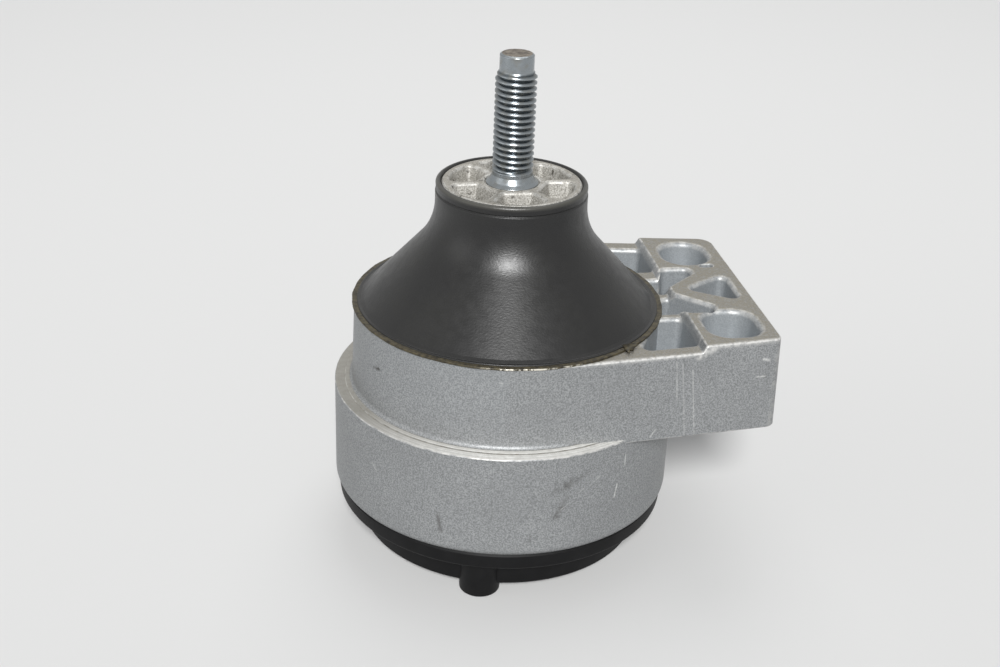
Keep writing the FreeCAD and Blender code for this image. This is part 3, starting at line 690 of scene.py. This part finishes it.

# %% [markdown]
# ## Cast aluminium
# A blasted casting is an even, dull grey with a grain of about 0.4 mm. Faces that look up get a tan tint as
# painted light from above, so the tint follows the surface normal in the object's own space. The mesh's
# curvature attribute turns edges bright where a noise lets it: partly wear, because rubbing is never even, and
# partly a painted highlight on the rims. Single scratches, smudges and rubbed edges are short marks between
# two places, and one shader group draws any of them.

# %% Marks from handling
def mark_group():
    """Shader group: how strongly a point lies in a narrow mark between two places in millimetres."""
    tree = bpy.data.node_groups.new("mark", "ShaderNodeTree")
    for title, kind in (("Place", "Vector"), ("From", "Vector"), ("To", "Vector"), ("Width", "Float")):
        tree.interface.new_socket(title, in_out="INPUT", socket_type="NodeSocket" + kind)
    tree.interface.new_socket("Mark", in_out="OUTPUT", socket_type="NodeSocketFloat")
    given = node(tree, "NodeGroupInput").outputs
    reach, length = [node(tree, "ShaderNodeVectorMath", {0: given[end], 1: given["From"]}, operation="SUBTRACT")
                     for end in ("Place", "To")]
    covered, whole = [node(tree, "ShaderNodeVectorMath", {0: part, 1: length}, operation="DOT_PRODUCT")
                      for part in (reach, length)]
    along = node(tree, "ShaderNodeMath", {0: covered, 1: whole}, operation="DIVIDE", use_clamp=True)
    nearest = node(tree, "ShaderNodeVectorMath", {0: length, "Scale": along}, operation="SCALE")
    gap = node(tree, "ShaderNodeVectorMath", {0: reach, 1: nearest}, operation="DISTANCE")
    mark = node(tree, "ShaderNodeMapRange", {"Value": gap, "From Max": given["Width"], "To Min": 1, "To Max": 0},
                interpolation_type="SMOOTHSTEP")
    node(tree, "NodeGroupOutput", {0: mark})
    return tree


marking = mark_group()


def marks_of(tree, place, marks, grain):
    """Strongest of several marks, broken up by a grain. Each is (from, to, width, strength) in millimetres."""
    spot = node(tree, "ShaderNodeVectorMath",
                {0: place, 1: (1 / MM, 1 / MM, 1 / MM), 2: (0, 0, Z0)}, operation="MULTIPLY_ADD")
    total = 0.0
    for start, end, width, strength in marks:
        made = node(tree, "ShaderNodeGroup",
                    {"Place": spot, "From": start, "To": end, "Width": width}, node_tree=marking)
        scaled = node(tree, "ShaderNodeMath", {0: made, 1: strength}, operation="MULTIPLY")
        total = node(tree, "ShaderNodeMath", {0: total, 1: scaled}, operation="MAXIMUM")
    return node(tree, "ShaderNodeMath", {0: total, 1: grain}, operation="MULTIPLY", use_clamp=True)


print("mark group sockets:", [item.name for item in marking.interface.items_tree])

# %% Places of the marks
# heights are above the floor of the cover, as in every drawing here
SCRATCHES = [
    ((26.6, -45, 34), (25.9, -45.4, 29.8), 0.35, 0.8), ((37.2, -42.9, 50.3), (35.8, -43.1, 48.1), 0.4, 0.4),
    ((8.7, -51.6, 30.5), (20.5, -48.1, 39), 0.35, 0.3), ((2.6, -52.2, 29), (15.7, -49.9, 36.4), 0.3, 0.25),
    ((69.1, -38.5, 69.6), (70.7, -38.3, 69.1), 0.7, 0.9), ((67.5, -38.8, 64), (70, -38.5, 64), 0.4, 0.5),
    ((44, -41.4, 70.4), (46.4, -41.8, 47.5), 0.35, 0.22), ((47.2, -41.1, 68.4), (49.4, -41.5, 48.1), 0.35, 0.3),
    ((42.1, -41.6, 71.5), (43.1, -41.9, 59.3), 0.4, 0.25), ((28.8, -43.6, 43), (28.8, -43.6, 39.5), 0.4, 0.6),
    ((-43.4, -29.2, 36), (-42.4, -30.7, 34.2), 0.6, 0.22), ((-9.3, -45.4, 69.3), (-8.7, -45.6, 69.1), 0.4, 0.35)]
SMUDGES = [
    ((-26.2, -45.3, 28), (-25, -46, 21.7), 1.1, 0.5), ((7.8, -51.7, 37.2), (12.4, -50.8, 39.6), 2.6, 0.42),
    ((13.6, -50.5, 39.9), (17.4, -49.3, 41.6), 1.1, 0.28), ((10, -51.3, 33.9), (7.2, -51.8, 28), 1.9, 0.42),
    ((-42, -20, 62.6), (-40.8, -22.4, 63.1), 0.9, 0.8), ((31, -43, 71.4), (31, -43, 70), 0.6, 0.6),
    ((0, -52.3, 23), (0.4, -52.3, 20.9), 0.7, 0.5), ((70, -38.5, 64.2), (70, -38.5, 63.6), 0.5, 0.4)]
RUBBED = [
    ((48.9, -40.8, 72.6), (53.2, -40.3, 74.7), 2, 0.9), ((50, -40.6, 75.3), (73, -37.8, 75.4), 1.5, 0.9),
    ((14, -44.3, 73.2), (49, -40.7, 73.3), 1.3, 0.9)]
print(len(SCRATCHES), "scratches,", len(SMUDGES), "smudges and", len(RUBBED), "rubbed edges")

# %% Cast aluminium
def cast_metal(name, dark, light, top_light_tint, top_light_share, marked):
    """Die-cast aluminium: even grey, fine grain, a painted tint of light on faces that look up, and bright edges that
    are partly worn and partly a painted highlight.
    """
    material, tree, shader, place = new_material(name, Metallic=0.4)
    grain = patches(tree, place, 0.42, 3, (0, 1))
    speckle = node(tree, "ShaderNodeMapRange", {"Value": grain, "From Min": 0.36, "From Max": 0.64})
    clouds = patches(tree, place, 16, 3, (0.35, 0.7), (0, 0.22))
    # painted light: the walls inside the pockets get a paler, bluer grey
    pocket = node(tree, "ShaderNodeAttribute", attribute_name="pocket").outputs["Fac"]
    painted_wall_light = node(tree, "ShaderNodeMath", {0: pocket, 1: 0.75}, operation="MULTIPLY")
    # painted light: faces that look up get a warm tan tint, as from light above
    up = part_of(tree, node(tree, "ShaderNodeTexCoord").outputs["Normal"], "Z")
    level = node(tree, "ShaderNodeMapRange", {"Value": up, "From Min": 0.8, "From Max": 0.98, "To Max": top_light_share})
    uneven = patches(tree, place, 0.9, 4, (0.35, 0.6), (0.55, 1))
    painted_top_light = node(tree, "ShaderNodeMath", {0: level, 1: uneven}, operation="MULTIPLY")
    # wear and painted highlight: sharply curved edges turn pale, partly from rubbing and partly as a highlight on the
    # rims
    wear_and_highlight = node(tree, "ShaderNodeAttribute", attribute_name="wear_and_highlight").outputs["Fac"]
    worn_and_highlit = node(tree, "ShaderNodeMath",
                {0: wear_and_highlight, 1: patches(tree, place, 2.2, 5, (0.4, 0.62), (0.1, 0.9))}, operation="MULTIPLY")
    coats = [(speckle, light), (clouds, dark), (painted_wall_light, "#b0b7bc"), (painted_top_light, top_light_tint), (worn_and_highlit, "#d3d2ce")]
    if marked:
        for marks, colour, size, detail, span, share in (
                (SMUDGES, "#4a4845", 2.6, 6, (0.4, 0.6), (0.1, 1.3)),
                (SCRATCHES, "#e2e2e0", 1.3, 5, (0.38, 0.6), (0.6, 1.3)),
                (RUBBED, "#dcdbd8", 1.1, 5, (0.38, 0.62), (0.3, 1))):
            coats.append((marks_of(tree, place, marks, patches(tree, place, size, detail, span, share)), colour))
    else:
        coats.append((patches(tree, place, 1.7, 4, (0.62, 0.7), (0, 0.85)), "#4a4640"))
    rough = node(tree, "ShaderNodeMapRange", {"Value": worn_and_highlit, "To Min": 0.5, "To Max": 0.38})
    finish(tree, shader, dark, coats, rough, (grain, 0.45, 0.045))
    return material


# blasted die casting: the eye gets an even, dull grey, with a sparkle where edges are rubbed, a painted highlight on
# the rims and a painted tan tint of light on faces that look up
cast = cast_metal("die-cast aluminium", "#7d7f80", "#a6a8a9", "#8b8474", 0.75, True)
# the same metal left as cast and stained: warmer, paler and coarser to the eye, with small dark pits and a weaker
# painted tint of light on its top
core_cast = cast_metal("stained core casting", "#827f78", "#c8c6c0", "#8f897c", 0.5, False)
print("cast materials:", cast.name, core_cast.name)

# %% [markdown]
# ## Machined, plated and coated metal
# A facing tool leaves rings, so the machined ledge gets noise along one coordinate only: the distance from
# the axis. The ledge is also painted darker towards the back as shade. Zinc plating is smooth and bluish, and
# painted dark between the crests of the thread as shade, where little light gets in. The sleeve keeps the
# olive brown of its bonding coat, which has run into beads at the front, painted pale as their highlight.

# %% Machined ledge
# facing cuts: the eye gets a bright, satin band of fine rings, painted darker towards the back as shade
turned, tree, shader, place = new_material("machined ledge", Metallic=0.2)
rings = node(tree, "ShaderNodeTexNoise",
             {"W": from_axis(tree, place), "Scale": per_mm(0.35), "Detail": 3}, noise_dimensions="1D")
ridges = node(tree, "ShaderNodeMapRange", {"Value": rings, "From Min": 0.4, "From Max": 0.6})
# painted shade: the ledge gets darker towards the back, away from the light
painted_back_shade = node(tree, "ShaderNodeMapRange", {
    "Value": part_of(tree, place, "Y"), "From Min": -46 * MM, "From Max": -20 * MM, "To Max": 0.9})
stains = patches(tree, place, 1.5, 4, share=(0, 0.35))
rough = node(tree, "ShaderNodeMapRange", {
    "Value": rings, "From Min": 0.35, "From Max": 0.65, "To Min": 0.34, "To Max": 0.5})
coats = [(ridges, "#fbfaf6"), (painted_back_shade, "#827f77"), (stains, "#a9a7a0")]
finish(tree, shader, "#d2d0cb", coats, rough, (rings, 0.5, 0.05))
print("ledge material:", turned.name)

# %% Zinc plating and the stained end
# bright zinc over a rolled thread: sharp, bluish glints, with painted shade darkening the grooves between the crests
zinc, tree, shader, place = new_material("zinc-plated steel", Metallic=1.0)
height = part_of(tree, place, "Z")
# painted shade: the thread's roots and flanks keep a dark grey, and only the crests and the dog point get the bright
# zinc
crests = node(tree, "ShaderNodeMapRange", {
    "Value": from_axis(tree, place), "From Min": 5.1 * MM, "From Max": 5.95 * MM})
dog_point = node(tree, "ShaderNodeMapRange", {
    "Value": height, "From Min": (H["dog"] - Z0 - 0.2) * MM, "From Max": (H["dog"] - Z0 + 0.3) * MM})
unshaded_metal = node(tree, "ShaderNodeMath", {0: crests, 1: dog_point}, operation="MAXIMUM")
dull = patches(tree, place, 2.2, 5, (0.5, 0.7), (0, 0.45))
turning = node(tree, "ShaderNodeTexNoise", {"W": height, "Scale": per_mm(0.3), "Detail": 3}, noise_dimensions="1D")
finish(tree, shader, "#484f54", [(unshaded_metal, "#9ba1a5"), (dull, "#8f8d84")],
       patches(tree, place, 1.2, 4, share=(0.24, 0.38)), (turning, 0.6, 0.03))

# sheared steel end with a brown stain: flat and dark to the eye
stained, tree, shader, place = new_material("stained stud end", Metallic=0.8)
finish(tree, shader, "#4b433c", [(patches(tree, place, 1.6, 5), "#8a8277")],
       patches(tree, place, 0.7, 3, share=(0.4, 0.6)))
print("stud materials:", zinc.name, "and", stained.name)

# %% Sleeve and plain steel
# baked bonding coat: dull olive brown, with glossy beads on the front of the flange's edge, painted pale as their
# highlight
coated, tree, shader, place = new_material("bonding coat", Metallic=0.3)
front = node(tree, "ShaderNodeMapRange", {
    "Value": part_of(tree, place, "Y"), "From Min": -46.4 * MM, "From Max": -44.3 * MM, "To Min": 1, "To Max": 0})
up = part_of(tree, node(tree, "ShaderNodeTexCoord").outputs["Normal"], "Z")
side = node(tree, "ShaderNodeMapRange", {"Value": up, "From Min": 0.35, "From Max": 0.8, "To Min": 1, "To Max": 0})
front_side = node(tree, "ShaderNodeMath", {0: front, 1: side}, operation="MULTIPLY")
# real beads of coat at the front, painted near white as their highlight
beads_and_highlight = node(tree, "ShaderNodeMath",
             {0: front_side, 1: patches(tree, place, 1.3, 5, (0.47, 0.56), stretch=(1, 1, 0.3))}, operation="MULTIPLY")
rough = node(tree, "ShaderNodeMapRange", {"Value": beads_and_highlight, "To Min": 0.45, "To Max": 0.15})
finish(tree, shader, "#28241b", [(patches(tree, place, 1.4, 5), "#534c38"), (beads_and_highlight, "#e9e4d6")],
       rough, (patches(tree, place, 0.6, 3, (0, 1)), 0.4, 0.05))

# rolled steel strip: a plain mid grey with a soft shine, on pieces that nobody sees
plain, tree, shader, place = new_material("plain steel", Metallic=1.0, Roughness=0.35)
finish(tree, shader, "#8c8d8e", [(patches(tree, place, 4, 3, (0, 1)), "#aaabac")])
print("steel materials:", coated.name, "and", plain.name)

# %% [markdown]
# ## Rubber and plastic
# Moulded rubber is nearly black and half dull, with very fine wrinkles that break up its highlight. The
# cover is a matt black plastic with fine level lines from its mould.

# %% Rubber and plastic
# moulded natural rubber: black with one broad, grainy highlight, and a painted grey highlight on the top of the lip
rubber, tree, shader, place = new_material("moulded rubber", Specular_IOR_Level=0.6)
# painted highlight: the top of the lip round the core is painted grey
top = node(tree, "ShaderNodeMapRange", {
    "Value": part_of(tree, place, "Z"),
    "From Min": (H["core"] - Z0 - 1.2) * MM, "From Max": (H["core"] - Z0 - 0.1) * MM})
outside = node(tree, "ShaderNodeMapRange", {
    "Value": from_axis(tree, place), "From Min": 21.3 * MM, "From Max": 21.9 * MM, "To Min": 0.1})
lip_highlight = node(tree, "ShaderNodeMath", {0: top, 1: outside}, operation="MULTIPLY")
finish(tree, shader, "#0c0c0d", [(patches(tree, place, 16, 4), "#141413"), (lip_highlight, "#45443f")],
       patches(tree, place, 2.6, 6, share=(0.34, 0.41)),
       (patches(tree, place, 0.7, 5, (0, 1), stretch=(1, 1, 1.6)), 0.75, 0.06))

# glass-filled moulding: matt black with hardly any highlight
plastic, tree, shader, place = new_material("matt black plastic", Roughness=0.55, Specular_IOR_Level=0.2)
mould_lines = patches(tree, place, 0.7, 2, (0, 1), stretch=(0.05, 0.05, 1))
finish(tree, shader, "#0a0a0b", [(patches(tree, place, 5, 4), "#111112")], relief=(mould_lines, 0.3, 0.05))
print("dark materials:", rubber.name, plastic.name)

# %% [markdown]
# ## Dressing the pieces
# Each mesh gets its materials, and faces choose between them by where they are: the level ring at the
# ledge is machined, the stud's end is stained.

# %% Material slots
def dress(obj, *materials):
    """Gives a mesh these materials and no others."""
    obj.data.materials.clear()
    for material in materials:
        obj.data.materials.append(material)


def paint_faces(obj, index, test):
    """Gives a material index to the faces for which test(centre in mm, normal) is true."""
    for face in obj.data.polygons:
        centre = face.center / MM + Vector((0, 0, Z0))
        if test(centre, face.normal):
            face.material_index = index


for obj, materials in ((housing, (cast, turned)), (cone, (rubber,)), (sleeve, (coated,)), (flake, (coated,)),
                       (core, (core_cast,)), (stud, (zinc, stained)), (cover, (plastic,))):
    dress(obj, *materials)
paint_faces(housing, 1, lambda c, n: abs(c.z - H["ledge"]) < 0.3 and n.z > 0.85)
paint_faces(stud, 1, lambda c, n: c.z > H["tip"] - 0.05 and n.z > 0.9)
for name, obj in nodes.items():
    dress(obj, rubber if name in ("decoupler_disc", "diaphragm") else plain)
print("materials:", ", ".join(sorted(material.name for material in bpy.data.materials)))

# %% Shading at the edges
for obj, degrees in ((housing, 40), (cone, 40), (sleeve, 40), (core, 40), (cover, 40), (stud, 75)):
    obj.data.set_sharp_from_angle(angle=math.radians(degrees))
for obj in (housing, core):
    # large faces set the normals, so that flat faces next to a rounded edge stay flat
    step = obj.modifiers.new("weighted", "WEIGHTED_NORMAL")
    step.weight = 90
    step.keep_sharp = True
    settle(obj)
print("flat faces stay flat on", housing.name, "and", core.name)

# %% Tie the pieces to the CAD part
PIECES = {housing: ("cast_housing", "housing_aluminium"), cone: ("rubber_spring", "cone_rubber"),
          sleeve: ("bonding_sleeve", "sleeve_steel"), flake: ("bonding_sleeve", "sleeve_steel"),
          core: ("inner_core", "core_aluminium"), stud: ("mounting_stud", "zinc_plated_steel"),
          cover: ("bottom_cover", "cover_plastic")}
for piece, (cad_node, slot) in PIECES.items():
    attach(piece, "root")
    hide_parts(cad_node)
print("pieces:", ", ".join(piece.name for piece in PIECES))

# %% [markdown]
# ## Stage, light and camera
# The mount does not stand upright: its lug reaches lower than its cup, so it leans. We keep the
# object in its own frame and tilt the floor instead, until it touches the lug and the far edge of the cup.
# A sun with a wide disc gives soft shadows at the same strength everywhere, and two round lamps lift the
# sides. Light Path lets the floor and the world look pale to the eye and in reflections, while they light
# the object with a plain grey.

# %% Floor and backdrop
def seen_or_mirrored(tree):
    """1 for rays that show the background, also by reflection or through glass, and 0 for rays that light."""
    path = node(tree, "ShaderNodeLightPath").outputs
    both = node(tree, "ShaderNodeMath", {0: path["Is Camera Ray"], 1: path["Is Glossy Ray"]}, operation="MAXIMUM")
    return node(tree, "ShaderNodeMath", {0: both, 1: path["Is Transmission Ray"]}, operation="MAXIMUM")


scene = bpy.context.scene
LEAN, LEAN_TOWARDS = 0.0402, math.radians(51)
TOUCH_R, FLOOR_HALF = 43.2 * MM, 4
tilt = Vector((math.cos(LEAN_TOWARDS), math.sin(LEAN_TOWARDS), 0))
level = Vector((-LEAN * tilt.x, -LEAN * tilt.y, 1)).normalized()
touch = tilt * TOUCH_R - Vector((0, 0, Z0 * MM))
floor_mesh = bpy.data.meshes.new("floor")
floor_mesh.from_pydata([(x * FLOOR_HALF, y * FLOOR_HALF, 0) for x, y in ((-1, -1), (1, -1), (1, 1), (-1, 1))],
                       [], [[0, 1, 2, 3]])
floor_mesh.transform(Matrix.Translation(touch) @ level.to_track_quat("Z", "Y").to_matrix().to_4x4())
floor = add_object("floor", floor_mesh)
# a sheet of matt studio paper: pale and without any shine, so that the eye rests on the part
paper, tree, shader, place = new_material("pale paper", Roughness=1.0, Specular_IOR_Level=0.0)
finish(tree, shader, "#828281", [(seen_or_mirrored(tree), "#dededd")])
floor_mesh.materials.append(paper)

world = bpy.data.worlds.new("studio")
scene.world = world
world.use_nodes = True
tree = world.node_tree
shade = node(tree, "ShaderNodeMix", {"Factor": seen_or_mirrored(tree), "A": "#747577", "B": "#d2d2d1"},
             data_type="RGBA")
plug(tree, tree.nodes["Background"].inputs["Color"], shade)
print("the floor leans by %.1f degrees" % math.degrees(math.atan(LEAN)))

# %% Lamps
SUN_FROM = Vector((-0.13, -0.77, 0.58))


def add_lamp(name, kind, energy, where, turn):
    """A lamp at a place in metres, turned by a quaternion."""
    lamp = bpy.data.lights.new(name, kind)
    lamp.energy = energy
    obj = add_object(name, lamp)
    obj.matrix_world = Matrix.Translation(where) @ turn.to_matrix().to_4x4()
    return lamp, obj


key, sun = add_lamp("key", "SUN", 3.6, (0, 0, 0), SUN_FROM.to_track_quat("Z", "Y"))
key.angle = math.radians(14)
for name, where, size, power in (("fill", (-0.75, -0.15, 0.20), 0.5, 0.5), ("top", (0.1, 0.35, 0.70), 0.6, 1.5)):
    aim = Vector((0, 0, -0.04)) - Vector(where)
    lamp, obj = add_lamp(name, "AREA", power, where, aim.to_track_quat("-Z", "Y"))
    lamp.shape = "DISK"
    lamp.size = size

# %% Camera
# place and turn come from matching the rings of the mount to the photograph
CAMERA_PLACE = Vector((-71.485, -392.034, 143.082)) * MM
RIGHT = Vector((0.98686452, -0.15746949, 0.03608003))
DOWN = Vector((-0.03767769, -0.44152657, -0.89645674))
AHEAD = Vector((0.15709488, 0.88332194, -0.44165999))
lens = bpy.data.cameras.new("camera")
lens.lens = 52.04
lens.sensor_width = 36
camera = add_object("camera", lens)
camera.matrix_world = Matrix.Translation(CAMERA_PLACE) @ Matrix((RIGHT, -DOWN, -AHEAD)).transposed().to_4x4()
scene.camera = camera
scene.view_settings.view_transform = "Standard"
print("camera at", [round(v, 3) for v in CAMERA_PLACE])
